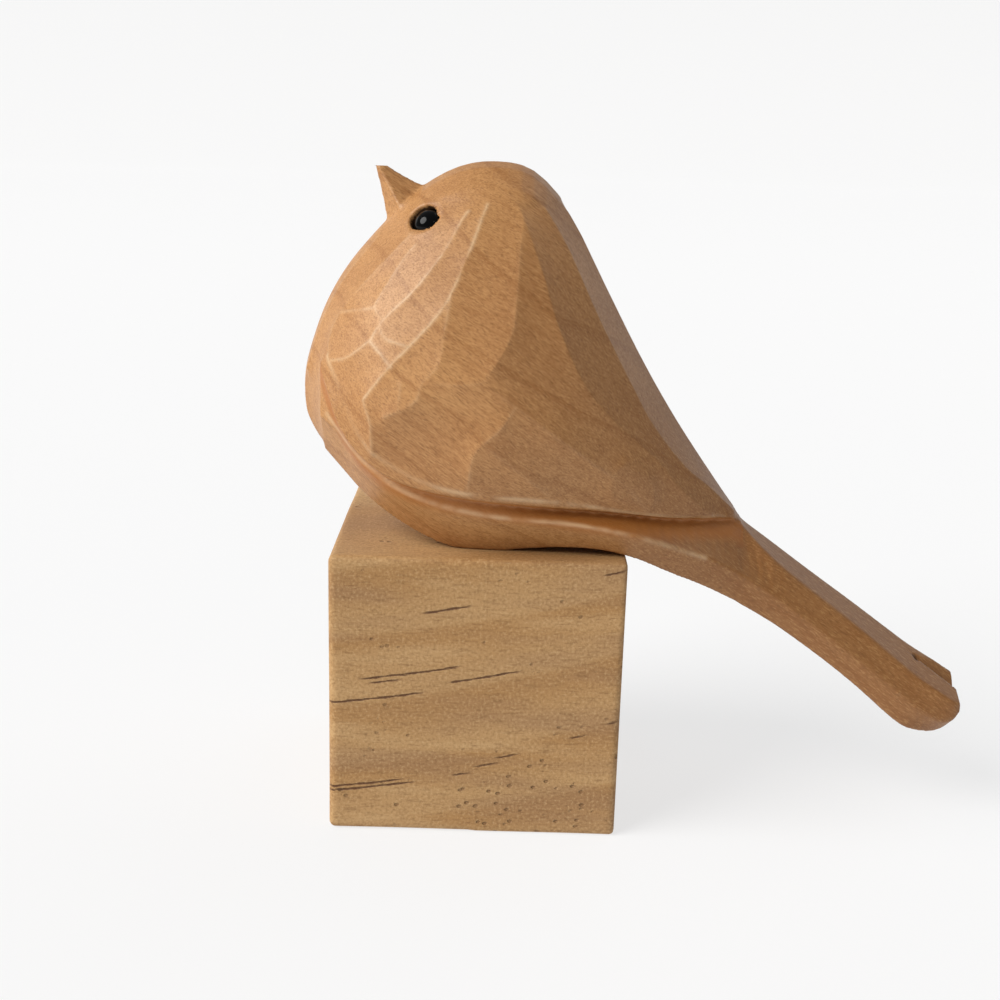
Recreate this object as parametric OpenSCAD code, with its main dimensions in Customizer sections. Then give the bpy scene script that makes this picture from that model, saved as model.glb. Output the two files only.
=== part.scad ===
// Carved wooden bird on a softwood block: the bird is one knife-cut piece, with glass bead
// eyes on wire shanks, and it sits on a dowel that slips into the block.
// The origin is the middle of the block's underside; the bird faces -X and its tail runs to +X.

/* [Block] */
// Edge length of the block
block_size = 40; // [34:1:48]
// Chamfer sanded on the block's edges
block_chamfer = 0.8; // [0.3:0.1:2]

/* [Bird] */
// How far the bird's middle plane sits towards the block's near side
bird_shift = 5; // [0:0.5:6]
// Overall size of the bird, against the carving plan below
bird_scale = 1; // [0.9:0.05:1.1]
// Depth of the undercut below the wings, against the plan
undercut = 1; // [0.5:0.1:1.3]

/* [Beak] */
// Half width of the beak at its root
beak_half = 3.4; // [2.5:0.1:4.5]

/* [Eyes] */
// Diameter of the bead
bead_d = 4.4; // [3:0.1:5]
// How far the bead stands out of its socket
bead_proud = 0.3; // [0.1:0.1:1.2]
// Diameter of the wire shank
shank_d = 0.9; // [0.6:0.1:1.2]
// Length of the wire shank in the wood
shank_len = 7; // [4:0.5:9]

/* [Dowel] */
// Diameter of the dowel
dowel_d = 8; // [6:0.5:10]
// Depth of the dowel in the block
dowel_in_block = 12; // [8:1:16]
// Depth of the dowel in the bird
dowel_in_bird = 16; // [10:1:20]
// Clearance round the dowel in the block's hole
dowel_slip = 0.05; // [0.02:0.01:0.1]
// Free space under the dowel's end
dowel_gap = 1; // [0.5:0.5:3]

/* [Hidden] */
$fn = 48;
eps = 0.01;
pine = [0.84, 0.68, 0.46];
honey = [0.74, 0.52, 0.32];
birch = [0.86, 0.76, 0.58];
jet = [0.03, 0.03, 0.035];
steel = [0.6, 0.6, 0.62];

// The carving plan: one row for each station from the breast to the tip of the tail, in the
// bird's middle plane, with z above the table.
// x, height of the back, half width, its height, height of the wing's edge, undercut,
// half width and height of the belly's ridge, half width and height of the keel facet
PLAN = [
    [-24.6, 62.4, 2.6, 60.2, 61.2, 0.0, 2.5, 59.6, 1.2, 58.4],
    [-24.3, 64.4, 4.9, 60.2, 62.4, 0.0, 4.7, 59.0, 2.2, 56.8],
    [-23.5, 67.2, 7.3, 60.2, 63.6, 0.0, 6.9, 58.6, 3.2, 54.9],
    [-22.2, 70.9, 9.6, 60.2, 64.6, 0.0, 8.8, 58.2, 4.0, 52.8],
    [-20.6, 74.2, 11.7, 60.2, 62.4, 0.5, 10.0, 57.2, 4.7, 51.1],
    [-18.7, 77.2, 13.5, 60.2, 57.4, 1.4, 10.5, 55.2, 5.5, 49.2],
    [-16.3, 80.2, 15.2, 60.2, 54.0, 2.0, 11.7, 52.4, 6.6, 46.9],
    [-13.0, 83.8, 16.8, 60.2, 51.4, 2.3, 12.9, 50.0, 7.8, 44.5],
    [ -9.0, 87.6, 17.8, 60.0, 49.9, 2.4, 13.7, 48.1, 8.8, 42.2],
    [ -4.0, 90.4, 18.4, 59.8, 49.0, 2.4, 14.2, 46.6, 9.6, 40.2],
    [  1.0, 91.2, 18.5, 59.4, 48.4, 2.4, 14.4, 45.9, 10.0, 39.7],
    [  6.0, 90.1, 17.9, 58.4, 47.8, 2.4, 14.4, 45.5, 10.6, 40.4],
    [ 11.0, 85.0, 16.7, 57.0, 47.2, 2.4, 14.2, 45.2, 11.4, 41.0],
    [ 16.0, 76.0, 14.8, 54.6, 46.6, 2.3, 13.9, 44.6, 12.0, 41.0],
    [ 21.0, 66.9, 12.5, 51.8, 45.9, 2.2, 13.1, 43.4, 11.8, 39.9],
    [ 26.0, 58.7, 9.9, 49.2, 45.1, 2.0, 11.5, 41.6, 10.2, 37.5],
    [ 31.0, 51.3, 7.0, 46.8, 44.5, 1.6, 9.7, 39.6, 8.3, 35.1],
    [ 35.0, 45.7, 4.3, 44.8, 43.9, 1.0, 8.4, 37.4, 7.1, 33.0],
    [ 36.6, 43.6, 3.2, 43.1, 42.9, 0.6, 8.0, 36.4, 6.8, 32.1],
    [ 37.2, 42.6, 3.0, 42.0, 41.9, 0.1, 7.9, 36.1, 6.7, 31.7],
    [ 41.0, 39.9, 5.0, 38.4, 38.4, 0.0, 7.5, 33.6, 6.4, 29.5],
    [ 47.0, 35.6, 5.1, 33.7, 33.7, 0.0, 7.3, 29.3, 6.1, 25.4],
    [ 54.0, 30.7, 5.2, 28.5, 28.5, 0.0, 7.3, 24.1, 6.1, 20.1],
    [ 60.0, 26.4, 5.6, 23.7, 23.7, 0.0, 7.3, 19.5, 6.3, 15.0],
    [ 63.0, 24.3, 5.8, 21.4, 21.4, 0.0, 7.3, 17.2, 6.0, 13.4],
    [ 66.5, 22.2, 5.9, 19.1, 19.1, 0.0, 6.9, 15.3, 4.8, 12.8],
    [ 68.6, 20.9, 5.8, 17.8, 17.8, 0.0, 6.2, 15.2, 4.4, 13.9],
    [ 69.8, 20.2, 5.2, 17.3, 17.3, 0.0, 5.4, 16.4, 4.0, 15.6]];
RINGS_PER_STATION = 3;
BACK_POINTS = 7;
FLANK_POINTS = 3;
// Exponents that round the back over to the widest place, and the flank down to the belly
BACK_FULLNESS = 1.6;
BACK_ROUNDNESS = 0.6;
FLANK_FULLNESS = 2.4;
// Height that the groove's inner line lies below the wing's edge
GROOVE_DROP = 0.1;
// Where the rounded back turns into the tail's roof
ROOF_START = 33;
ROOF_LENGTH = 5;

// A plan value between stations i and i + 1, on a smooth curve through the stations' own values
function plan(i, c) = PLAN[max(0, min(len(PLAN) - 1, i))][c];
function bend(p, q, r, s, u) =
    q + u * (r - p) / 2 + u * u * (p - 2.5 * q + 2 * r - s / 2) + u * u * u * (1.5 * (q - r) + (s - p) / 2);
function faired(t, c) =
    let (i = floor(t), u = t - i) bend(plan(i - 1, c), plan(i, c), plan(i + 1, c), plan(i + 2, c), u);

// Half of one section, from the back's crest down to the keel, as [side, z]. On the breast the
// wing's edge runs up above the widest place, so the flank between the two has no height there.
function half_section(t) =
    let (x = faired(t, 0), top = faired(t, 1), wide = faired(t, 2), wide_z = faired(t, 3),
         edge_z = faired(t, 4), cut = faired(t, 5) * undercut, keel_z = faired(t, 9),
         roof = max(0, min(1, (x - ROOF_START) / ROOF_LENGTH)),
         shoulder_z = max(wide_z, edge_z),
         back = function(z) wide * pow(max(0, 1 - pow(max(0, z - wide_z) / (top - wide_z),
                                                      BACK_FULLNESS * (1 - roof) + roof)),
                                       BACK_ROUNDNESS * (1 - roof) + roof),
         flank = function(z) wide * sqrt(max(0, 1 - pow(max(0, wide_z - z) / (wide_z - keel_z), FLANK_FULLNESS))),
         side = function(z) z > wide_z ? back(z) : flank(z))
    concat(
        [for (k = [0 : BACK_POINTS]) let (z = shoulder_z + cos(90 * k / BACK_POINTS) * (top - shoulder_z))
            [back(z), z]],
        [for (k = [1 : FLANK_POINTS]) let (z = shoulder_z + (edge_z - shoulder_z) * k / FLANK_POINTS)
            [side(z), z - eps * k]],
        [[side(edge_z) - cut, edge_z - GROOVE_DROP - cut / 5], [faired(t, 6), faired(t, 7)],
         [faired(t, 8), keel_z]]);

function ring(t) =
    let (h = half_section(t), x = faired(t, 0), n = len(h))
    concat([for (p = h) [x, -p[0], p[1]]], [[x, 0, h[n - 1][1]]], [for (k = [n - 1 : -1 : 1]) [x, h[k][0], h[k][1]]]);

// A closed skin over a list of rings, from the first to the last
module skin(rings) {
    n = len(rings[0]);
    m = len(rings);
    polyhedron(
        points = [for (r = rings) each r],
        faces = concat(
            [[for (k = [0 : n - 1]) k]],
            [for (j = [0 : m - 2]) for (k = [0 : n - 1]) let (a = j * n + k, b = j * n + (k + 1) % n)
                each [[a, a + n, b + n], [a, b + n, b]]],
            [[for (k = [n - 1 : -1 : 0]) (m - 1) * n + k]]),
        convexity = 6);
}

// Moves the bird from its own middle plane to its place over the block, and scales it about its seat
PLAN_SEAT = 40;
module on_block() {
    translate([0, -bird_shift, block_size]) scale(bird_scale) translate([0, 0, -PLAN_SEAT]) children();
}

// Beak: a four-sided point, carved with the head
BEAK_TIP = [-14.9, 0, 90.2];
BEAK_TOP = [-6.6, 0, 87.1];
BEAK_SIDE = [-10.3, 1.25 * beak_half, 82.6];
BEAK_CHIN = [-13.3, 0, 80.6];
BEAK_ROOT = [-8, 0, 82];
module beak() {
    side = [BEAK_SIDE[0], -BEAK_SIDE[1], BEAK_SIDE[2]];
    polyhedron(points = [BEAK_TIP, BEAK_TOP, BEAK_SIDE, BEAK_CHIN, side, BEAK_ROOT],
               faces = [[2, 1, 0], [3, 2, 0], [4, 3, 0], [1, 4, 0], [1, 2, 5], [2, 3, 5], [3, 4, 5], [4, 1, 5]]);
}

// Eye: where the socket's mouth is, and which way it faces, as turn and tilt from straight up
EYE_AT = [-8.5, 6.9, 84.1];
EYE_TURN = 34;
EYE_TILT = 45;
bead_r = bead_d / 2;
socket_slip = 0.05;
bead_centre = bead_proud - bead_r;
socket_depth = bead_r - bead_centre + socket_slip;
module at_eye(side) {
    on_block() translate([EYE_AT[0], side * EYE_AT[1], EYE_AT[2]]) rotate([0, 0, 180 - side * EYE_TURN])
        rotate([0, EYE_TILT, 0]) children();
}
module eye_socket(side) {
    at_eye(side) translate([0, 0, -socket_depth]) cylinder(h = socket_depth + bead_r, r = bead_r + socket_slip);
    at_eye(side) translate([0, 0, -socket_depth - shank_len]) cylinder(h = shank_len + eps, d = shank_d);
}
module bead(side) {
    color(jet) at_eye(side) difference() {
        translate([0, 0, bead_centre]) sphere(bead_r);
        translate([0, 0, -socket_depth]) cylinder(h = bead_r / 2, d = shank_d);
    }
}
module shank(side) {
    color(steel) at_eye(side) translate([0, 0, -socket_depth - shank_len])
        cylinder(h = shank_len + bead_r / 2, d = shank_d);
}

// The flat on the belly reaches from behind the breast to the root of the tail
BELLY_FLAT = [-12, 15];
BELLY_CUT = 2;
module bird_body() {
    rings = (len(PLAN) - 1) * RINGS_PER_STATION;
    color(honey) difference() {
        on_block() {
            skin([for (k = [0 : rings]) ring(k / RINGS_PER_STATION)]);
            beak();
        }
        translate([BELLY_FLAT[0], -block_size, block_size - BELLY_CUT])
            cube([BELLY_FLAT[1] - BELLY_FLAT[0], 2 * block_size, BELLY_CUT]);
        translate([0, -bird_shift, block_size - eps]) cylinder(h = dowel_in_bird + eps, d = dowel_d);
        for (side = [-1, 1]) eye_socket(side);
    }
}

dowel_chamfer = 0.6;
module dowel() {
    color(birch) translate([0, -bird_shift, block_size - dowel_in_block]) {
        cylinder(h = dowel_chamfer, d1 = dowel_d - 2 * dowel_chamfer, d2 = dowel_d);
        translate([0, 0, dowel_chamfer]) cylinder(h = dowel_in_block + dowel_in_bird - dowel_chamfer, d = dowel_d);
    }
}

module edge_cut() {
    rotate([0, 0, 45]) cube([2 * block_chamfer / sqrt(2), 2 * block_chamfer / sqrt(2), 2 * block_size], center = true);
}
module block() {
    half = block_size / 2;
    hole_depth = dowel_in_block + dowel_gap;
    color(pine) difference() {
        translate([0, 0, half]) difference() {
            cube(block_size, center = true);
            for (turn = [[0, 0, 0], [90, 0, 0], [0, 90, 0]]) rotate(turn)
                for (a = [-1, 1], b = [-1, 1]) translate([a * half, b * half, 0]) edge_cut();
        }
        translate([0, -bird_shift, block_size - hole_depth])
            cylinder(h = hole_depth + 1, d = dowel_d + 2 * dowel_slip);
    }
}

block();
dowel();
bird_body();
bead(-1);  // eye_left
bead(1);  // eye_right
shank(-1);  // eye_pin_left
shank(1);  // eye_pin_right
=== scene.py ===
"""A whittled songbird with bead eyes, pegged on a sanded cube of softwood, on a pale studio floor."""

import math

import bmesh
import bpy
import numpy as np
from mathutils import Matrix, Vector
from mathutils.bvhtree import BVHTree
from mathutils.kdtree import KDTree


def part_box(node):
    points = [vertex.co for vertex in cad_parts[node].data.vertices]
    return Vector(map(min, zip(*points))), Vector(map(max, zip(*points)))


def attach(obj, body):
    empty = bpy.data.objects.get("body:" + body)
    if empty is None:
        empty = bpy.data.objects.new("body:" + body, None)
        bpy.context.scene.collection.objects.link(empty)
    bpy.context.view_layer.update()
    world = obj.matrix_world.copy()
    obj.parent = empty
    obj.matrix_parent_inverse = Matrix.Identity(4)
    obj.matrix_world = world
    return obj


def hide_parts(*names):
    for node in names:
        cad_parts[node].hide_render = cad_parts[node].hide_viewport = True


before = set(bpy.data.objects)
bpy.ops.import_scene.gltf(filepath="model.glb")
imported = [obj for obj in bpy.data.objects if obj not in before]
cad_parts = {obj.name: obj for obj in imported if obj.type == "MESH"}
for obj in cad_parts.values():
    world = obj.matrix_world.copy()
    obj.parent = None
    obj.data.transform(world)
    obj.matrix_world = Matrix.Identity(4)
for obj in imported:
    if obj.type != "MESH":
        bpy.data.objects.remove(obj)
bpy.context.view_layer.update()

# ---------------------------------------------------------------------------------------------
# The block. A cube sawn from a softwood board and sanded by hand, so its edges are rounded
# unevenly. The board's length runs along X: the growth bands show as waves across the front.
# A blind hole in its top takes the bird's dowel.

MM = 0.001


class Wire:
    """One output of a shader node. Arithmetic with numbers or other wires adds Math nodes."""

    def __init__(self, finish, socket):
        self.finish = finish
        self.socket = socket

    def maths(self, operation, *values):
        return self.finish.node("ShaderNodeMath", {"operation": operation}, list(values))

    def __add__(self, other):
        return self.maths("ADD", self, other)

    def __sub__(self, other):
        return self.maths("SUBTRACT", self, other)

    def __rsub__(self, other):
        return self.maths("SUBTRACT", other, self)

    def __mul__(self, other):
        return self.maths("MULTIPLY", self, other)

    def __truediv__(self, other):
        return self.maths("DIVIDE", self, other)

    __radd__ = __add__
    __rmul__ = __mul__

    def fraction(self):
        return self.maths("FRACT", self)

    def size(self):
        return self.maths("ABSOLUTE", self)

    def step(self, low, high):
        """0 up to low and 1 from high, with a smooth rise between; it falls where high is below low."""
        return self.finish.node(
            "ShaderNodeMapRange",
            {"interpolation_type": "SMOOTHSTEP"},
            {"Value": self, "From Min": low, "From Max": high},
        )


class Finish:
    """A material, and the few ways its nodes are made and joined."""

    def __init__(self, name, **sockets):
        self.material = bpy.data.materials.new(name)
        self.material.use_nodes = True
        self.tree = self.material.node_tree
        self.shader = self.tree.nodes["Principled BSDF"]
        for socket, value in sockets.items():
            self.shader.inputs[socket.replace("_", " ")].default_value = value

    def node(self, kind, settings, values, out=0):
        """Adds a node. values are a list by place or a dict by name, of numbers, vectors or wires."""
        made = self.tree.nodes.new(kind)
        for name, setting in settings.items():
            setattr(made, name, setting)
        for key, value in values.items() if isinstance(values, dict) else enumerate(values):
            if isinstance(value, Wire):
                self.tree.links.new(value.socket, made.inputs[key])
            elif value is not None:
                made.inputs[key].default_value = value
        return Wire(self, made.outputs[out])

    def put(self, **wires):
        for socket, wire in wires.items():
            self.tree.links.new(wire.socket, self.shader.inputs[socket.replace("_", " ")])

    def place(self):
        return self.node("ShaderNodeTexCoord", {}, {}, "Object")

    def mapped(self, place, scale, turn=(0, 0, 0)):
        return self.node("ShaderNodeMapping", {}, {"Vector": place, "Rotation": turn, "Scale": scale})

    def noise(self, place, scale, detail=2.0, rough=0.5, out="Fac"):
        values = {"Vector": place, "Scale": scale, "Detail": detail, "Roughness": rough}
        return self.node("ShaderNodeTexNoise", {}, values, out)

    def shifted(self, place, push, amount):
        """place moved about by a noise's colour, by up to about half of amount each way."""
        centred = self.node("ShaderNodeVectorMath", {"operation": "SUBTRACT"}, [push, (0.5, 0.5, 0.5)])
        scaled = self.node("ShaderNodeVectorMath", {"operation": "SCALE"}, {0: centred, "Scale": amount})
        return self.node("ShaderNodeVectorMath", {"operation": "ADD"}, [place, scaled])

    def part(self, place, axis):
        return self.node("ShaderNodeSeparateXYZ", {}, [place], axis)

    def attribute(self, name):
        return self.node("ShaderNodeAttribute", {"attribute_name": name}, {}, "Fac")

    def mix(self, factor, a, b):
        """Two colours mixed: a where factor is 0 and b where it is 1."""
        made = self.tree.nodes.new("ShaderNodeMix")
        made.data_type = "RGBA"
        for place, value in ((0, factor), (6, a), (7, b)):
            if isinstance(value, Wire):
                self.tree.links.new(value.socket, made.inputs[place])
            else:
                made.inputs[place].default_value = value if place == 0 else (*value, 1.0)
        return Wire(self, made.outputs[2])

    def bump(self, height, distance, strength=1.0):
        values = {"Height": height, "Distance": distance, "Strength": strength}
        self.put(Normal=self.node("ShaderNodeBump", {}, values, "Normal"))


def new_piece(name, verts, faces, finish, slot, body):
    """A mesh object in the row's frame, shaded, with its material and body; slot is not used."""
    mesh = bpy.data.meshes.new(name)
    mesh.from_pydata([tuple(v) for v in verts], [], [tuple(f) for f in faces])
    mesh.validate()
    mesh.polygons.foreach_set("use_smooth", [True] * len(mesh.polygons))
    piece = bpy.data.objects.new(name, mesh)
    bpy.context.scene.collection.objects.link(piece)
    mesh.materials.append(finish.material)
    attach(piece, body)
    return piece


def settled(piece):
    """Applies the piece's modifiers, in order."""
    bpy.context.view_layer.update()
    result = bpy.data.meshes.new_from_object(piece.evaluated_get(bpy.context.evaluated_depsgraph_get()))
    piece.modifiers.clear()
    piece.data = result


PINE_LIGHT = (0.45, 0.265, 0.112)
PINE_WARM = (0.36, 0.185, 0.062)
PINE_GREY = (0.30, 0.165, 0.078)
PINE_PALE = (0.60, 0.40, 0.20)
PINE_DARK = (0.17, 0.080, 0.026)
PINE_RESIN = (0.075, 0.022, 0.007)
PINE_BAND = 9.4 * MM
BAND_RISE = 0.20
BAND_CURVE = 2.0
# Resin streaks on the front, in millimetres: from x, to x, and the height of their growth band
RESIN = [
    (-7, -0.7, 33.7), (-15.5, -1.9, 25.2), (-14.2, -10, 24.5), (-20, -7, 22.2), (-3.5, 6.3, 23.1),
    (-20, -8, 9.0), (-20, -9.5, 9.6), (-2.7, -0.4, 9.2), (0.4, 3.6, 10.0), (3.2, 6.4, 10.8),
    (13.3, 15.6, 11.7), (18.4, 20, 12.7), (17, 20, 34.4)]
FRONT_SKIN_Y = -13 * MM


def pine_finish():
    """Bare sanded softwood: broad growth bands, fine fibres, short resin streaks and sanding pits."""
    f = Finish("sanded_pine", Roughness=0.62, Specular_IOR_Level=0.3)
    place = f.place()
    x = f.part(place, "X")
    sway = f.noise(f.mapped(place, (26, 40, 70)), 1.0, 1.5, 0.5, "Color")
    swayed = f.shifted(place, sway, 3.5 * MM)
    rise = x * BAND_RISE + x * x * BAND_CURVE
    height = f.part(place, "Z") - rise
    band = ((f.part(swayed, "Z") - rise + f.part(place, "Y") * 0.3 + 2 * MM) / PINE_BAND).fraction()
    late = band.step(0.10, 0.80) * band.step(1.0, 0.86)
    broad = f.noise(f.mapped(swayed, (28, 60, 190)), 1.0, 2.0, 0.5)
    fibre = f.noise(f.mapped(swayed, (420, 2600, 3000)), 1.0, 3.0, 0.65)
    mottle = f.noise(place, 2400.0, 2.0, 0.6)
    colour = f.mix(late * 0.70, PINE_LIGHT, PINE_WARM)
    colour = f.mix(broad.step(0.45, 0.68) * 0.55, colour, PINE_GREY)
    colour = f.mix(broad.step(0.48, 0.32) * 0.30, colour, PINE_PALE)
    colour = f.mix(fibre.step(0.50, 0.70) * 0.38, colour, PINE_DARK)
    colour = f.mix(mottle.step(0.50, 0.66) * 0.30, colour, PINE_DARK)
    colour = f.mix(mottle.step(0.48, 0.32) * 0.35, colour, PINE_PALE)
    # Streaks at known places on the front, and scattered ones on the other faces
    wander = height + (fibre - 0.5) * (0.5 * MM)
    streak = 0.0
    for start, end, level in RESIN:
        across = (wander - level * MM).size().step(0.17 * MM, 0.07 * MM)
        along = x.step((start - 0.6) * MM, (start + 0.8) * MM) * x.step((end + 0.6) * MM, (end - 1.4) * MM)
        streak = across * along + streak
    skin = f.part(place, "Y").step(FRONT_SKIN_Y + MM, FRONT_SKIN_Y)
    seam = f.noise(f.mapped(swayed, (32, 60, 420)), 1.0, 1.0, 0.4)
    where = f.noise(f.mapped(place, (50, 50, 70)), 1.0, 1.0, 0.5)
    scattered = seam.step(0.665, 0.715) * where.step(0.50, 0.62)
    ragged = f.noise(f.mapped(place, (700, 900, 5200)), 1.0, 2.0, 0.6).step(0.30, 0.48)
    streak = (streak * skin + scattered * (1 - skin)) * (ragged * 0.8 + 0.2)
    colour = f.mix(streak * 0.88, colour, PINE_RESIN)
    cells = {"Vector": f.mapped(place, (620, 900, 900)), "Scale": 1.0}
    pits = f.node("ShaderNodeTexVoronoi", {}, cells, "Distance")
    rare = f.noise(f.mapped(place, (110, 110, 260)), 1.0, 2.0, 0.6)
    low_down = height.step(18 * MM, 2 * MM) * 0.10
    pit = pits.step(0.27, 0.12) * (rare + low_down).step(0.57, 0.66)
    colour = f.mix(pit * 0.60, colour, PINE_DARK)
    f.put(Base_Color=colour, Roughness=fibre * 0.18 + 0.52)
    f.bump(fibre * 0.4 + mottle * 0.4 - streak * 1.5 - pit * 2.0, 0.14 * MM, 0.8)
    return f


BLOCK_GRID = 44
EDGE_ROUND = 0.6 * MM
EDGE_WOBBLE = 0.28 * MM


def soft_noise(points, wavelength, seed):
    """Smooth noise from -1 to 1 at each point: a few seeded plane waves of about that wavelength."""
    waves = np.random.default_rng(seed)
    total = np.zeros(len(points))
    for _ in range(9):
        direction = waves.normal(size=3)
        direction *= waves.uniform(0.6, 1.5) * 2 * math.pi / (wavelength * np.linalg.norm(direction))
        total += np.sin(points @ direction + waves.uniform(0, 2 * math.pi))
    return total / 4.5


def sanded_cube(low, high):
    """A gridded cube whose edges are rounded with a radius that wanders along them."""
    n = BLOCK_GRID
    half = (high - low) / 2
    centre = (high + low) / 2
    shape = bmesh.new()
    bmesh.ops.create_cube(shape, size=2.0)
    bmesh.ops.subdivide_edges(shape, edges=shape.edges[:], cuts=n, use_grid_fill=True)
    unit = np.array([v.co for v in shape.verts])
    faces = [[v.index for v in f.verts] for f in shape.faces]
    shape.free()
    # Cosine spacing puts the grid's lines close together near the edges
    unit = np.sign(unit) * (0.35 * np.abs(unit) + 0.65 * np.sin(np.abs(unit) * math.pi / 2))
    points = unit * half
    radius = EDGE_ROUND + EDGE_WOBBLE * soft_noise(points, 22 * MM, 3) + EDGE_WOBBLE * (points[:, 0] < 0)
    inner = np.clip(points, -half + radius[:, None], half - radius[:, None])
    out = points - inner
    length = np.linalg.norm(out, axis=1)
    on_edge = length > 1e-9
    reach = np.where(on_edge, radius / np.maximum(length, 1e-9), 1.0)
    flat = (np.abs(out) > 1e-9).sum(1) < 2
    points = np.where(flat[:, None], points, inner + out * np.minimum(reach, 1.0)[:, None])
    return points + centre, faces


low, high = (np.array(c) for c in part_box("block"))
dowel_low, dowel_high = (np.array(c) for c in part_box("dowel"))
PEG = (dowel_low + dowel_high) / 2
PEG_RADIUS = (dowel_high[0] - dowel_low[0]) / 2
pine = pine_finish()
block = new_piece("sanded_block", *sanded_cube(low, high), pine, "block_wood", "stand")


def bore(piece, bottom, top, radius, sides=64):
    """Drills a round vertical hole into the piece, from top down to bottom."""
    ring = [(math.cos(2 * math.pi * k / sides), math.sin(2 * math.pi * k / sides)) for k in range(sides)]
    verts = [(PEG[0] + radius * c, PEG[1] + radius * s, z) for z in (bottom, top) for c, s in ring]
    faces = [[k, (k + 1) % sides, sides + (k + 1) % sides, sides + k] for k in range(sides)]
    faces += [list(range(sides))[::-1], list(range(sides, 2 * sides))]
    mesh = bpy.data.meshes.new("drill")
    mesh.from_pydata(verts, [], faces)
    drill = bpy.data.objects.new("drill", mesh)
    bpy.context.scene.collection.objects.link(drill)
    cut = piece.modifiers.new("bore", "BOOLEAN")
    cut.operation = "DIFFERENCE"
    cut.solver = "EXACT"
    cut.object = drill
    settled(piece)
    bpy.data.objects.remove(drill)


bore(block, dowel_low[2] - 1.0 * MM, high[2] + 2.0 * MM, PEG_RADIUS + 0.05 * MM)
block.data.set_sharp_from_angle(angle=math.radians(50))
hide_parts("block")

# ---------------------------------------------------------------------------------------------
# The dowel. A short birch rod glued into the bird's belly; it slips into the block's hole and
# only shows when the bird is lifted. Its fibres run up and down.


def birch_finish():
    f = Finish("planed_birch", Roughness=0.55)
    place = f.place()
    fibre = f.noise(f.mapped(place, (2600, 2600, 130)), 1.0, 3.0, 0.6)
    broad = f.noise(place, 160.0, 2.0)
    colour = f.mix(fibre.step(0.35, 0.75) * 0.5, (0.68, 0.50, 0.30), (0.50, 0.33, 0.17))
    f.put(Base_Color=f.mix(broad * 0.3, colour, (0.58, 0.38, 0.20)), Roughness=fibre * 0.2 + 0.45)
    f.bump(fibre, 0.05 * MM)
    return f


birch = birch_finish()
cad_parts["dowel"].data.materials.clear()
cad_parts["dowel"].data.materials.append(birch.material)

# ---------------------------------------------------------------------------------------------
# The bird. Whittled from one piece of close-grained fruitwood whose fibres run along the tail:
# flat knife strokes meet in low ridges, worn by handling and painted with a bright highlight on the
# breast, and the wings' lower edge is undercut. Oiled and handled to a satin.

VOXEL = 0.30 * MM
GRAIN_FALL = math.radians(34.5)
bird_low, bird_high = (np.array(c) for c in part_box("bird_body"))
MID_Y = (bird_low[1] + bird_high[1]) / 2
# The wing's lower edge in the bird's side view, x and z in millimetres
WING_EDGE = np.array([
    (-21.6, 65.0), (-20.6, 62.4), (-18.7, 57.4), (-16.3, 54.0), (-13, 51.4), (-9, 49.9), (-4, 49), (1, 48.4),
    (6, 47.8), (11, 47.2), (16, 46.6), (21, 45.9), (26, 45.1), (31, 44.5), (35, 43.9), (36.6, 42.9)])
WING_TIP_X = 37.0
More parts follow.
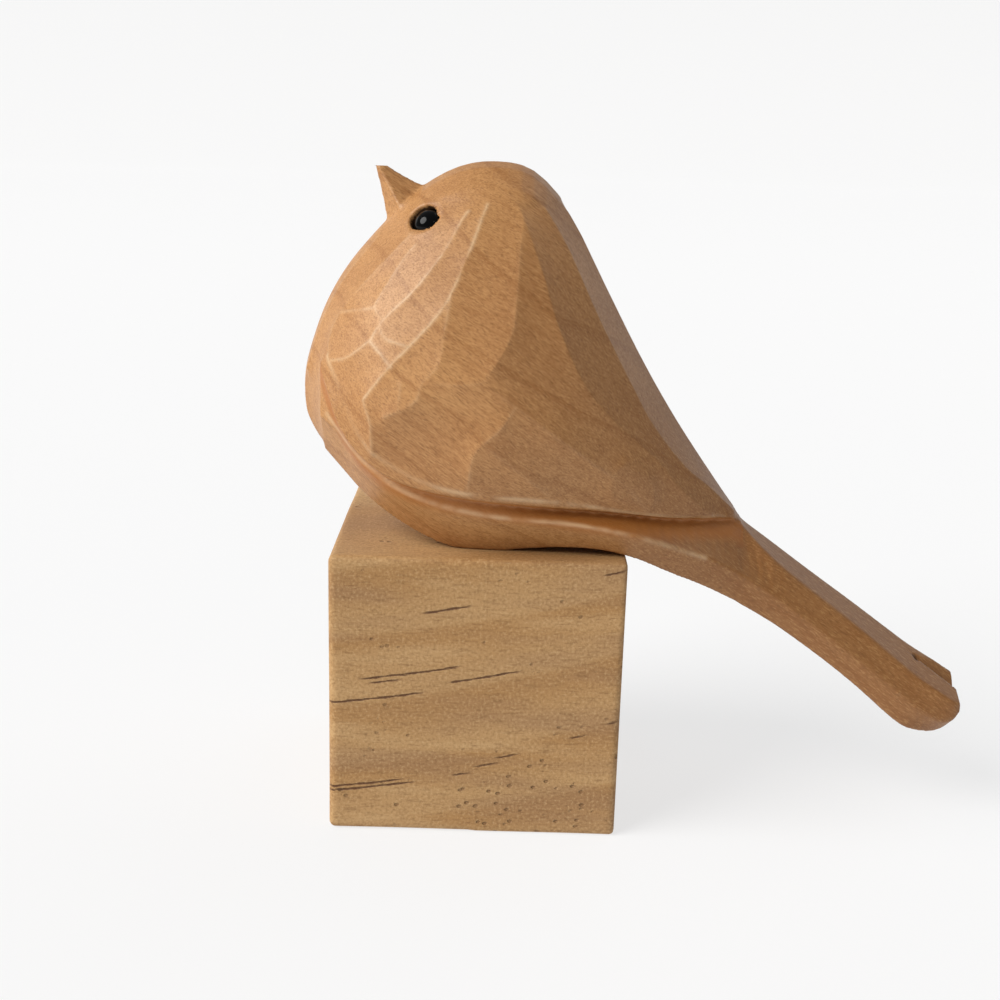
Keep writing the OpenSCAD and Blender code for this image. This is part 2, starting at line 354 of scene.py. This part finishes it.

# The ridges left between flat cuts on one side, each as points x, distance from the middle
# plane and z in millimetres. The number is how bright the ridge is painted: partly handling wear, partly
# painted highlight.
RIDGES = [
    # from the crown down over the cheek and breast
    (0.9, [(0, 8, 86), (-2, 12, 80.5), (-4.5, 14.5, 74.5), (-7, 15.5, 71),
           (-12, 16, 65.5), (-15.3, 15.5, 61.3)]),
    (0.9, [(-2.5, 8.5, 85), (-5.5, 11.5, 79.7), (-9, 13, 75.1), (-12.9, 13.5, 71.3), (-14.6, 13.8, 68.7)]),
    (0.4, [(-12.9, 13.5, 71.3), (-14.1, 12, 72.7), (-13.4, 11.5, 74.5), (-10.5, 10, 79), (-9.2, 9.6, 80.6)]),
    (0.6, [(-14.6, 13.8, 68.7), (-17.6, 12.7, 66.3), (-20, 10.8, 65.5)]),
    (0.9, [(-14.6, 13.8, 68.7), (-11.6, 16.3, 65.7)]),
    (0.6, [(-13.4, 13.7, 70.5), (-12.4, 14.7, 69.1), (-9.9, 15.8, 68.5)]),
    (0.3, [(-9.8, 8, 81.6), (-13.9, 8.6, 77.7), (-19, 8.2, 71.5), (-20.3, 8.7, 68.5), (-20.3, 10.4, 65.6)]),
    (0.5, [(-19, 8.2, 71.5), (-16.7, 10.3, 72.1), (-14.1, 12, 72.7)]),
    (0.5, [(-15.3, 15.5, 61.3), (-14.3, 16, 58.3), (-14.2, 15.5, 54)]),
    (0.2, [(-14.8, 3.4, 81), (-18.4, 3.6, 76), (-22, 3.8, 69), (-23.6, 4, 63)]),
    # the long facet behind the breast
    (0.1, [(3, 6.5, 87.3), (4.7, 8.8, 84.2), (4.4, 11.4, 80.4), (4.1, 14.4, 74.3),
           (3.5, 16.1, 70), (0.3, 17.8, 64.4)]),
    (0.3, [(-4.1, 14.2, 75.2), (-4.9, 16.1, 70.5), (-5.4, 17.2, 66.6), (-7.6, 17.4, 64), (-8.6, 17.6, 61.5),
           (-12.5, 17, 59.4)]),
    (0.1, [(0.3, 17.8, 64.4), (-3, 17.8, 64), (-7.6, 17.4, 64)]),
    (0.4, [(-10.4, 17, 63.8), (-10.6, 17.4, 60.6)]),
    # the wing's lower panels
    (0.1, [(0.3, 17.8, 64.4), (4.4, 17.8, 61.4), (8.5, 17.3, 58.4), (14, 15.5, 54.2),
           (19.5, 12.8, 49.9), (22.5, 11, 46.4)]),
    (0.2, [(4.4, 17.8, 61.4), (2.4, 18.4, 58.4), (-0.6, 18.2, 55.4), (-1.4, 17.4, 51.6), (-1.6, 17, 49.5)]),
    (0.1, [(0.5, 18.4, 56.3), (2.5, 18.1, 54.8), (7.8, 16.6, 50.2), (9.5, 16, 48)]),
    # down the back to the wing's tip
    (0.0, [(4.7, 8.8, 84.2), (7.5, 12, 77.3), (9.3, 13.7, 71.9), (11.2, 14.3, 67.5),
           (13.7, 14.2, 63.1),
           (17.2, 13.2, 59), (21, 11.6, 55.6), (24, 10.4, 52.8), (27.2, 9.3, 49),
           (30.6, 7.3, 45.8), (32, 6.4, 44.8)]),
    (0.1, [(7.6, 6, 85.4), (10.8, 7.4, 80.4), (13.5, 8.4, 74.8), (17.6, 8.7, 66.9),
           (20.2, 8.8, 62.3),
           (22.9, 8.7, 57.7), (27.7, 7.4, 51.9), (31.4, 5.4, 48.6), (35.6, 3, 44.6)]),
    (0.0, [(7, 1.8, 89), (11, 1.9, 85), (16, 2, 76), (21, 2, 66.9), (26, 2, 58.5), (31, 1.6, 51),
           (36, 1, 44.3)]),
]
# Edges that the carving already has, painted bright, partly as handling wear and partly as painted
# highlight: the wing's lip and the belly's ridge
WORN_AND_HIGHLIGHT_EDGES = [
    (0.8, [(-20.6, 9.8, 66), (-18.6, 13.2, 61.8), (-14.5, 15.3, 54.5), (-7.1, 17, 50.1),
           (2.6, 17, 48.6), (10.8, 15, 47.7),
           (22, 11, 45.6), (34, 5, 44)]),
    (0.7, [(-20.6, 10.2, 58.2), (-15, 12.2, 51.9), (-7.7, 13.7, 47.9), (2.7, 14.4, 45.8), (10.9, 14.1, 45.3),
           (21, 13.1, 43.4), (31, 9.7, 39.6)]),
]
FAR_WANDER = 0.9 * MM
FAR_WAVE = 19 * MM
RIDGE_BAND = 0.24 * MM
RIDGE_HOLD = 0.85
RIDGE_SAMPLE = 0.12 * MM
RIDGE_GLOW = 0.30 * MM
EDGE_GLOW = 0.35 * MM
FILM_ROUNDS = 260
# Where the blank keeps its shape: under the wing's edge, over the crown, down the breast's
# middle line, and round the dowel's hole and the eyes' sockets
UNDERCUT = 0.15 * MM
CROWN_Z = 86.5 * MM
BREAST_X = -11 * MM
BREAST_HALF_WIDTH = 2.2 * MM
BORE_MARGIN = 0.5 * MM
BORE_CAP = 1.0 * MM
SOCKET_KEEP = 2.9 * MM


def carving_blank(node):
    """The CAD bird as an even fine mesh, ready to be cut."""
    blank = bpy.data.objects.new("carved_bird", node.data.copy())
    bpy.context.scene.collection.objects.link(blank)
    grid = blank.modifiers.new("grid", "REMESH")
    grid.mode = "VOXEL"
    grid.voxel_size = VOXEL
    ease = blank.modifiers.new("ease", "SMOOTH")
    ease.factor = 0.5
    ease.iterations = 3
    settled(blank)
    return blank


def mesh_arrays(mesh):
    co = np.empty(len(mesh.vertices) * 3)
    links = np.empty(len(mesh.edges) * 2, dtype=np.int32)
    mesh.vertices.foreach_get("co", co)
    mesh.edges.foreach_get("vertices", links)
    return co.reshape(-1, 3), links.reshape(-1, 2)


def smooth_line(knots, spacing):
    """Points every spacing along a curve through the knots."""
    knots = np.array(knots, dtype=float)
    ends = np.vstack([2 * knots[0] - knots[1], knots, 2 * knots[-1] - knots[-2]])
    points = []
    for k in range(1, len(ends) - 2):
        a, b, c, d = ends[k - 1:k + 3]
        t = np.linspace(0, 1, max(2, int(np.linalg.norm(c - b) / spacing)), endpoint=False)[:, None]
        points.append(b + 0.5 * t * (c - a + t * (2 * a - 5 * b + 4 * c - d + t * (3 * (b - c) + d - a))))
    return np.vstack([*points, ends[-2:-1]])


def on_surface(lines, side, tree):
    """Every line's points on one side of the bird, laid on its surface, and their brightness."""
    points, bright = [], []
    for brightness, knots in lines:
        line = smooth_line(np.array(knots) * MM, RIDGE_SAMPLE)
        if side > 0:
            # The far side is cut by the same hand, not to the same line
            line[:, 0] += FAR_WANDER * soft_noise(line, FAR_WAVE, 5)
            line[:, 2] += FAR_WANDER * soft_noise(line, FAR_WAVE, 6)
        line[:, 1] = MID_Y + side * line[:, 1]
        points += [tree.find_nearest(Vector(p))[0] for p in line]
        bright += [brightness] * len(line)
    return points, bright


def nearest(points, co):
    """For each point of co, the index of and distance to the nearest of points."""
    tree = KDTree(len(points))
    for k, p in enumerate(points):
        tree.insert(p, k)
    tree.balance()
    found = [tree.find(c)[1:] for c in co]
    return np.array([k for k, _ in found]), np.array([d for _, d in found])


def film(co, links, fixed, rounds):
    """The surface a soap film takes between the fixed points, by conjugate gradients."""
    a, b = links.T
    count = len(co)
    degree = np.bincount(links.ravel(), minlength=count)[:, None]

    def pull(x):
        total = degree * x
        for k in range(3):
            total[:, k] -= np.bincount(a, x[b, k], count) + np.bincount(b, x[a, k], count)
        total[fixed] = 0
        return total

    x = co.copy()
    r = -pull(x)
    p = r.copy()
    size = (r * r).sum(0)
    for _ in range(rounds):
        q = pull(p)
        step = size / np.maximum((p * q).sum(0), 1e-30)
        x += step * p
        r -= step * q
        new_size = (r * r).sum(0)
        p = r + new_size / np.maximum(size, 1e-30) * p
        size = new_size
    return x


def above_wing_edge(co):
    """Height above the wing's lower edge in metres, and far below it behind the wing's tip."""
    x = co[:, 0] / MM
    edge = np.interp(x, WING_EDGE[:, 0], WING_EDGE[:, 1]) * MM
    return np.where(x > WING_TIP_X, -1.0, np.where(x < WING_EDGE[0, 0], 1.0, co[:, 2] - edge))


# V cuts down the back, each as x and z of its bottom line's two ends, the steepness of its
# walls, and how far it lies to the near side: one parts the wings' tips, the other notches the
# tail from a pin hole to its end.
PARTING = ((24.5, 61.4), (36.8, 42.0), 2.2, 0.35)
NOTCH = ((60.5, 25.6), (70.2, 16.4), 1.5, 1.7)
PIN_HOLE = np.array([63.6 * MM, MID_Y - 1.7 * MM, 22.7 * MM])
PIN_RADIUS = 0.42 * MM
PIN_DEPTH = 1.2 * MM
PIN_BRIM = 1.6
PIN_SHADE = 1.9
CUT_REACH = 4 * MM
STOP_CUT_WIDTH = 0.22 * MM
STOP_CUT_SHADE = 0.8
STOP_CUT = [(-13.2, 0.0, 80.7), (-12.4, 2.2, 81.6), (-11.0, 4.0, 82.4), (-10.0, 4.7, 82.9)]


def v_cut(co, start, end, steepness, aside):
    """Lowers every point above the cut's two walls on to them."""
    x0, z0, x1, z1 = (v * MM for v in (*start, *end))
    floor = z0 + (co[:, 0] - x0) * (z1 - z0) / (x1 - x0)
    wall = floor + np.abs(co[:, 1] - MID_Y + aside * MM) * steepness
    inside = (co[:, 0] > x0) & (co[:, 0] < x1) & (co[:, 2] > wall) & (co[:, 2] < wall + CUT_REACH)
    co[inside, 2] = wall[inside]


SOCKET_MOUTH = 1.95 * MM
SOCKET_REACH = 2.7 * MM
SOCKET_EASE = 0.42 * MM
LIP_HEIGHT = 1.0 * MM
SOCKET_WALL = 2.32 * MM
SOCKET_TOP = 1.75 * MM
SOCKET_FLOOR = -3 * MM


def close_sockets(co):
    """Draws each socket's lip in around its bead, and says how far inside the socket each point is, for the
    shade painted there.
    """
    inside = np.zeros(len(co))
    for eye, axis in EYES:
        along = (co - eye) @ axis
        out = co - eye - along[:, None] * axis
        radius = np.linalg.norm(out, axis=1)
        lip = (radius < SOCKET_REACH) & (radius > SOCKET_MOUTH) & (along > LIP_HEIGHT)
        share = np.clip((SOCKET_REACH - radius[lip]) / SOCKET_EASE, 0, 1)
        co[lip] -= out[lip] * (share * (1 - SOCKET_MOUTH / radius[lip]))[:, None]
        inside = np.maximum(inside, (radius < SOCKET_WALL) & (along < SOCKET_TOP) & (along > SOCKET_FLOOR))
    return inside


def stop_cut(co):
    """How near each point is to the knife's stop cut, where the beak meets the breast, for the shade painted
    in the cut.
    """
    line = smooth_line(np.array(STOP_CUT) * MM, RIDGE_SAMPLE)
    near = np.zeros(len(co))
    for side in (-1, 1):
        cut = line * (1, side, 1) + (0, MID_Y, 0)
        close = np.flatnonzero(np.linalg.norm(co - cut[len(cut) // 2], axis=1) < CUT_REACH)
        gap = np.linalg.norm(co[close][:, None] - cut[None], axis=2).min(1)
        depth = np.clip(1.3 - gap / STOP_CUT_WIDTH, 0, 1)
        co[close, 0] += depth * STOP_CUT_WIDTH
        near[close] = np.maximum(near[close], depth * STOP_CUT_SHADE)
    return near


def whittle(mesh):
    """Cuts flats between the ridges, on both sides, and records what the finish needs."""
    co, links = mesh_arrays(mesh)
    tree = BVHTree.FromPolygons([Vector(c) for c in co], [p.vertices[:] for p in mesh.polygons])
    ridges, bright, edges, edge_bright = [], [], [], []
    for side in (-1, 1):
        more, more_bright = on_surface(RIDGES, side, tree)
        ridges += more
        bright += more_bright
        more, more_bright = on_surface(WORN_AND_HIGHLIGHT_EDGES, side, tree)
        edges += more
        edge_bright += more_bright
    over = above_wing_edge(co)
    aside = np.abs(co[:, 1] - MID_Y)
    closest, gap = nearest(ridges, co)
    kept = (over < UNDERCUT) | (co[:, 2] > CROWN_Z)
    kept |= (co[:, 0] < BREAST_X) & (aside < BREAST_HALF_WIDTH)
    kept |= in_beak(co)
    in_bore = np.hypot(co[:, 0] - PEG[0], co[:, 1] - PEG[1]) < PEG_RADIUS + BORE_MARGIN
    kept |= in_bore & (co[:, 2] < dowel_high[2] + BORE_CAP)
    for eye, axis in EYES:
        along = (co - eye) @ axis
        kept |= np.linalg.norm(co - eye - along[:, None] * axis, axis=1) < SOCKET_KEEP
    on_ridge = (gap < RIDGE_BAND) & ~kept
    held = co.copy()
    held[on_ridge] += RIDGE_HOLD * (np.array(ridges)[closest[on_ridge]] - co[on_ridge])
    moved = film(held, links, kept | on_ridge, FILM_ROUNDS)
    moved += beak_share(co)[:, None] * BEAK_GROWTH
    tip = in_beak(co)
    moved[tip, 2] = np.minimum(moved[tip, 2], BEAK_TOP_Z)
    for cut in (PARTING, NOTCH):
        v_cut(moved, *cut)
    # Painted shade in the pin hole, then in the eyes' sockets and along the beak's stop cut, gathered in one
    # mask
    pin_gap = np.linalg.norm(moved - PIN_HOLE, axis=1)
    moved[:, 2] -= PIN_DEPTH * np.clip(PIN_BRIM - pin_gap / PIN_RADIUS, 0, 1)
    hole = np.clip(PIN_SHADE - pin_gap / PIN_RADIUS, 0, 1)
    hole = np.maximum(hole, close_sockets(moved))
    # Brightness along the ridges and edges: partly handling wear, partly painted highlight
    shine = np.exp(-((gap / RIDGE_GLOW) ** 2)) * np.array(bright)[closest]
    closest, gap = nearest(edges, moved)
    shine = np.maximum(shine, np.exp(-((gap / EDGE_GLOW) ** 2)) * np.array(edge_bright)[closest])
    hole = np.maximum(hole, stop_cut(moved))
    return moved, shine, over, hole


BEAK_GROWTH = np.array([-0.9, 0, 1.7]) * MM
BEAK_TOP_Z = 90.15 * MM
BEAK_CHIN = np.array([-13.3 * MM, MID_Y, 80.6 * MM])
BEAK_OUT = np.array([-0.697, 0.0, 0.718])
BEAK_FOOT = 2.2 * MM
BEAK_RISE = 5.8 * MM
BEAK_HALF_WIDTH = 5.2 * MM


def beak_share(co):
    """0 on the head, rising to 1 at the beak's tip; the even mesh rounds the tip off by a little."""
    height = (co - BEAK_CHIN) @ BEAK_OUT
    return np.where(in_beak(co), np.clip((height - BEAK_FOOT) / BEAK_RISE, 0, 1) ** 2, 0)


def in_beak(co):
    """Whether each point belongs to the beak, which keeps its own four flat cuts."""
    return ((co - BEAK_CHIN) @ BEAK_OUT > BEAK_FOOT) & (np.abs(co[:, 1] - MID_Y) < BEAK_HALF_WIDTH)


def add_attribute(mesh, name, values):
    values = np.ascontiguousarray(values, dtype=np.float32)
    mesh.attributes.new(name, "FLOAT", "POINT").data.foreach_set("value", values)


def eye_axis(side):
    """An eye's centre, radius, and the way it looks, from its bead and its wire."""
    bead, shank = ([Vector(c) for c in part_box(f"{node}_{side}")] for node in ("eye", "eye_pin"))
    centre = (bead[0] + bead[1]) / 2
    return centre, (bead[1].x - bead[0].x) / 2, (centre - (shank[0] + shank[1]) / 2).normalized()


EYES = [tuple(np.array(v) for v in eye_axis(side)[::2]) for side in ("left", "right")]
bird = carving_blank(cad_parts["bird_body"])
carved, shine, over, hole = whittle(bird.data)
bird.data.vertices.foreach_set("co", carved.ravel())
bird.data.update()

# Painted shade: a band below the wing's lower edge, under its overhanging lip, strongest from half a
# millimetre to about two down and gone by three and a half
in_groove = np.clip(-over / (0.5 * MM), 0, 1) * np.clip((over + 3.4 * MM) / (1.2 * MM), 0, 1)
add_attribute(bird.data, "ridge", shine)
add_attribute(bird.data, "groove", in_groove)
add_attribute(bird.data, "hole", hole)
bird.data.polygons.foreach_set("use_smooth", [True] * len(bird.data.polygons))

WOOD_HONEY = (0.49, 0.245, 0.088)
WOOD_TAN = (0.42, 0.200, 0.070)
WOOD_DARK = (0.18, 0.070, 0.016)
WOOD_PALE = (0.64, 0.37, 0.145)
TAIL_PAINTED_SHADE = (0.17, 0.055, 0.006)
WOOD_RING = (0.27, 0.10, 0.022)
RIDGE_WEAR_AND_HIGHLIGHT = (0.68, 0.47, 0.27)
LIP_PAINTED_SHADE = (0.38, 0.13, 0.022)
RING_PITCH = 8.5 * MM


def fruitwood_finish():
    """Oiled close-grained wood: fibres and short pores along the tail, faint rings, ridges worn and painted
    with a highlight, and painted shade towards the tail, under the wings' lip and in holes.
    """
    f = Finish("oiled_fruitwood", Roughness=0.42, Specular_IOR_Level=0.4, Coat_Weight=0.05,
               Coat_Roughness=0.4)
    place = f.place()
    along = f.mapped(place, (1, 1, 1), (0, -GRAIN_FALL, 0))
    sway = f.noise(f.mapped(along, (30, 60, 60)), 1.0, 2.0, 0.5, "Color")
    swayed = f.shifted(along, sway, 6 * MM)
    fibre = f.noise(f.mapped(along, (1050, 5200, 5200)), 1.0, 2.0, 0.6)
    long_fibre = f.noise(f.mapped(swayed, (160, 1500, 1500)), 1.0, 2.0, 0.6)
    pore = f.noise(f.mapped(along, (1300, 5200, 5200)), 1.0, 1.0, 0.5)
    cloud = f.noise(f.mapped(along, (45, 90, 90)), 1.0, 3.0, 0.55)
    across = f.node("ShaderNodeVectorMath", {"operation": "MULTIPLY"}, [swayed, (0, 1, 1)])
    offset = f.node("ShaderNodeVectorMath", {"operation": "ADD"}, [across, (0, 12 * MM, -24 * MM)])
    distance = f.node("ShaderNodeVectorMath", {"operation": "LENGTH"}, [offset], "Value")
    ring = (distance / RING_PITCH).fraction()
    ring = ring.step(0.86, 0.97) * ring.step(1.0, 0.985)
    colour = f.mix(cloud.step(0.32, 0.70), WOOD_HONEY, WOOD_TAN)
    colour = f.mix(long_fibre.step(0.42, 0.66) * 0.30, colour, WOOD_RING)
    colour = f.mix(ring * 0.40, colour, WOOD_RING)
    # Painted shade: darker, more saturated colour rising from the breast back to the tail, where the lamp
    # lights the bird less
    colour = f.mix(f.part(place, "X").step(-16 * MM, 44 * MM) * 0.58, colour, TAIL_PAINTED_SHADE)
    colour = f.mix(fibre.step(0.50, 0.66) * 0.34, colour, WOOD_DARK)
    colour = f.mix(fibre.step(0.47, 0.33) * 0.24, colour, WOOD_PALE)
    colour = f.mix(pore.step(0.58, 0.68) * 0.40, colour, WOOD_DARK)
    # Painted shade under the wings' lip
    colour = f.mix(f.attribute("groove") * 0.72, colour, LIP_PAINTED_SHADE)
    # Lighter colour along the ridges and edges: partly real handling wear, partly a painted highlight where
    # light catches them
    wear_and_highlight = f.attribute("ridge") * f.noise(place, 260.0, 2.0).step(0.25, 0.60) * 0.75
    colour = f.mix(wear_and_highlight, colour, RIDGE_WEAR_AND_HIGHLIGHT)
    # Painted shade: near black in the eyes' sockets, the pin hole and the beak's stop cut
    colour = f.mix(f.attribute("hole") * 0.9, colour, (0.03, 0.01, 0.003))
    f.put(Base_Color=colour, Roughness=fibre * 0.22 - wear_and_highlight * 0.10 + 0.38)
    f.bump(long_fibre * 0.5 - fibre * 0.5 - pore.step(0.60, 0.72) * 0.6, 0.025 * MM, 0.7)
    return f


fruitwood = fruitwood_finish()
bird.data.materials.clear()
bird.data.materials.append(fruitwood.material)
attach(bird, "bird")
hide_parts("bird_body")

# ---------------------------------------------------------------------------------------------
# The eyes. Black glass beads pressed on to wire shanks and set into drilled sockets in the
# head, so that only their fronts stand out of the wood.


def jet_finish():
    f = Finish("jet_glass", Base_Color=(0.002, 0.002, 0.002, 1), Roughness=0.06, Specular_IOR_Level=0.14)
    dust = f.noise(f.place(), 900.0, 3.0)
    f.put(Roughness=dust.step(0.45, 0.80) * 0.12 + 0.05)
    return f


def wire_finish():
    f = Finish("drawn_wire", Base_Color=(0.55, 0.54, 0.52, 1), Metallic=1.0, Roughness=0.35)
    drawn = f.noise(f.mapped(f.place(), (4000, 4000, 400)), 1.0, 2.0)
    f.put(Roughness=drawn * 0.25 + 0.25)
    f.bump(drawn, 0.01 * MM)
    return f


BEAD_TURNS = 56
BEAD_RINGS = 28
jet = jet_finish()
wire = wire_finish()


def turned(profile, centre, axis, turns):
    """A closed body turned about an axis. profile runs from one pole to the other, as radius and height."""
    frame_x = axis.orthogonal().normalized()
    frame_y = axis.cross(frame_x)
    verts = [centre + axis * profile[0][1]]
    for radius, height in profile[1:-1]:
        for k in range(turns):
            a = 2 * math.pi * k / turns
            verts.append(centre + axis * height + (frame_x * math.cos(a) + frame_y * math.sin(a)) * radius)
    verts.append(centre + axis * profile[-1][1])
    rings = len(profile) - 2
    faces = [[0, 1 + (k + 1) % turns, 1 + k] for k in range(turns)]
    for j in range(rings - 1):
        for k in range(turns):
            a, b = 1 + j * turns + k, 1 + j * turns + (k + 1) % turns
            faces.append([a, b, b + turns, a + turns])
    last = len(verts) - 1
    faces += [[last, last - turns + k, last - turns + (k + 1) % turns] for k in range(turns)]
    return verts, faces


for side in ("left", "right"):
    centre, radius, axis = eye_axis(side)
    # A pressed bead is a ball with a small flat round its wire at the back
    profile = []
    for k in range(BEAD_RINGS + 1):
        a = math.pi * k / BEAD_RINGS
        profile.append((radius * math.sin(a), max(-0.93 * radius, radius * math.cos(a))))
    ball = turned(profile[::-1], centre, axis, BEAD_TURNS)
    bead = new_piece(f"bead_{side}", *ball, jet, "bead_glass", "bird")
    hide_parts(f"eye_{side}")
    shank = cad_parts[f"eye_pin_{side}"]
    shank.data.materials.clear()
    shank.data.materials.append(wire.material)

# ---------------------------------------------------------------------------------------------
# The studio. A pale floor that curves up into a backdrop, a broad lamp from the front left, a
# weaker one from behind, and two small ones that glint in the eye.

BACKDROP_RISE = 1.2
BACKDROP_AT = 2.2
BACKDROP_CURVE = 0.9
STAGE_HALF = 6.0


def pale_floor():
    """One sheet: flat under the object, then a quarter turn up into the wall behind it."""
    profile = [(-3.0, 0.0), (0.0, 0.0), (BACKDROP_AT, 0.0)]
    for k in range(1, 25):
        a = math.pi / 2 * k / 24
        profile.append((BACKDROP_AT + BACKDROP_CURVE * math.sin(a), BACKDROP_CURVE * (1 - math.cos(a))))
    profile.append((BACKDROP_AT + BACKDROP_CURVE, BACKDROP_CURVE + BACKDROP_RISE))
    verts = [(x, y, z) for y, z in profile for x in (-STAGE_HALF, STAGE_HALF)]
    faces = [[2 * k, 2 * k + 1, 2 * k + 3, 2 * k + 2] for k in range(len(profile) - 1)]
    mesh = bpy.data.meshes.new("pale_floor")
    mesh.from_pydata(verts, [], faces)
    mesh.polygons.foreach_set("use_smooth", [True] * len(mesh.polygons))
    sheet = bpy.data.objects.new("pale_floor", mesh)
    bpy.context.scene.collection.objects.link(sheet)
    # Lit from behind as well, like a light table, so that shadows on it stay faint
    paper = Finish("pale_paper", Roughness=0.9, Specular_IOR_Level=0.1, Emission_Color=(1, 1, 1, 1),
                   Emission_Strength=0.70)
    back = paper.part(paper.place(), "Y").step(0.2, BACKDROP_AT)
    paper.put(Base_Color=paper.mix(back, (0.22, 0.22, 0.22), (0.19, 0.19, 0.19)))
    mesh.materials.append(paper.material)


def lamp(name, towards, strength, angle=None, size=None, distance=None, colour=(1, 1, 1)):
    """A sun lamp of that angular size, or a square panel at that distance, shining from towards."""
    data = bpy.data.lights.new(name, "SUN" if size is None else "AREA")
    data.energy = strength
    data.color = colour
    if size is None:
        data.angle = math.radians(angle)
    else:
        data.size = size
    made = bpy.data.objects.new(name, data)
    bpy.context.scene.collection.objects.link(made)
    direction = Vector(towards).normalized()
    made.location = direction * (distance or 1.0) + Vector((0, 0, 0.07))
    made.rotation_euler = direction.to_track_quat("Z", "Y").to_euler()


pale_floor()
lamp("key", (-0.74, -0.34, 0.62), 3.9, angle=42, colour=(1.0, 0.985, 0.965))
lamp("cool_back", (0.62, 0.42, 0.66), 0.45, angle=50, colour=(0.90, 0.95, 1.0))
lamp("glint_low", (0.25, -0.95, 0.12), 0.04, size=0.03, distance=0.6)
lamp("glint_high", (0.35, -0.6, 0.55), 0.03, size=0.03, distance=0.6)
world = bpy.data.worlds.new("studio")
world.use_nodes = True
world.node_tree.nodes["Background"].inputs["Color"].default_value = (0.93, 0.96, 1.0, 1)
world.node_tree.nodes["Background"].inputs["Strength"].default_value = 0.22
bpy.context.scene.world = world
bpy.context.scene.view_settings.view_transform = "Standard"

CAMERA_AT = Vector((2.7, -196.2, 96.5)) * MM
CAMERA_DOWN = math.radians(15.27)
CAMERA_ROLL = math.radians(1.64)
CAMERA_LENS = 50.14


def front_camera():
    data = bpy.data.cameras.new("camera")
    data.lens = CAMERA_LENS
    data.sensor_width = 36.0
    data.clip_start = 0.01
    data.clip_end = 50.0
    camera = bpy.data.objects.new("camera", data)
    bpy.context.scene.collection.objects.link(camera)
    tilt = Matrix.Rotation(math.radians(90) - CAMERA_DOWN, 4, "X")
    camera.matrix_world = Matrix.Translation(CAMERA_AT) @ tilt @ Matrix.Rotation(CAMERA_ROLL, 4, "Z")
    bpy.context.scene.camera = camera


front_camera()
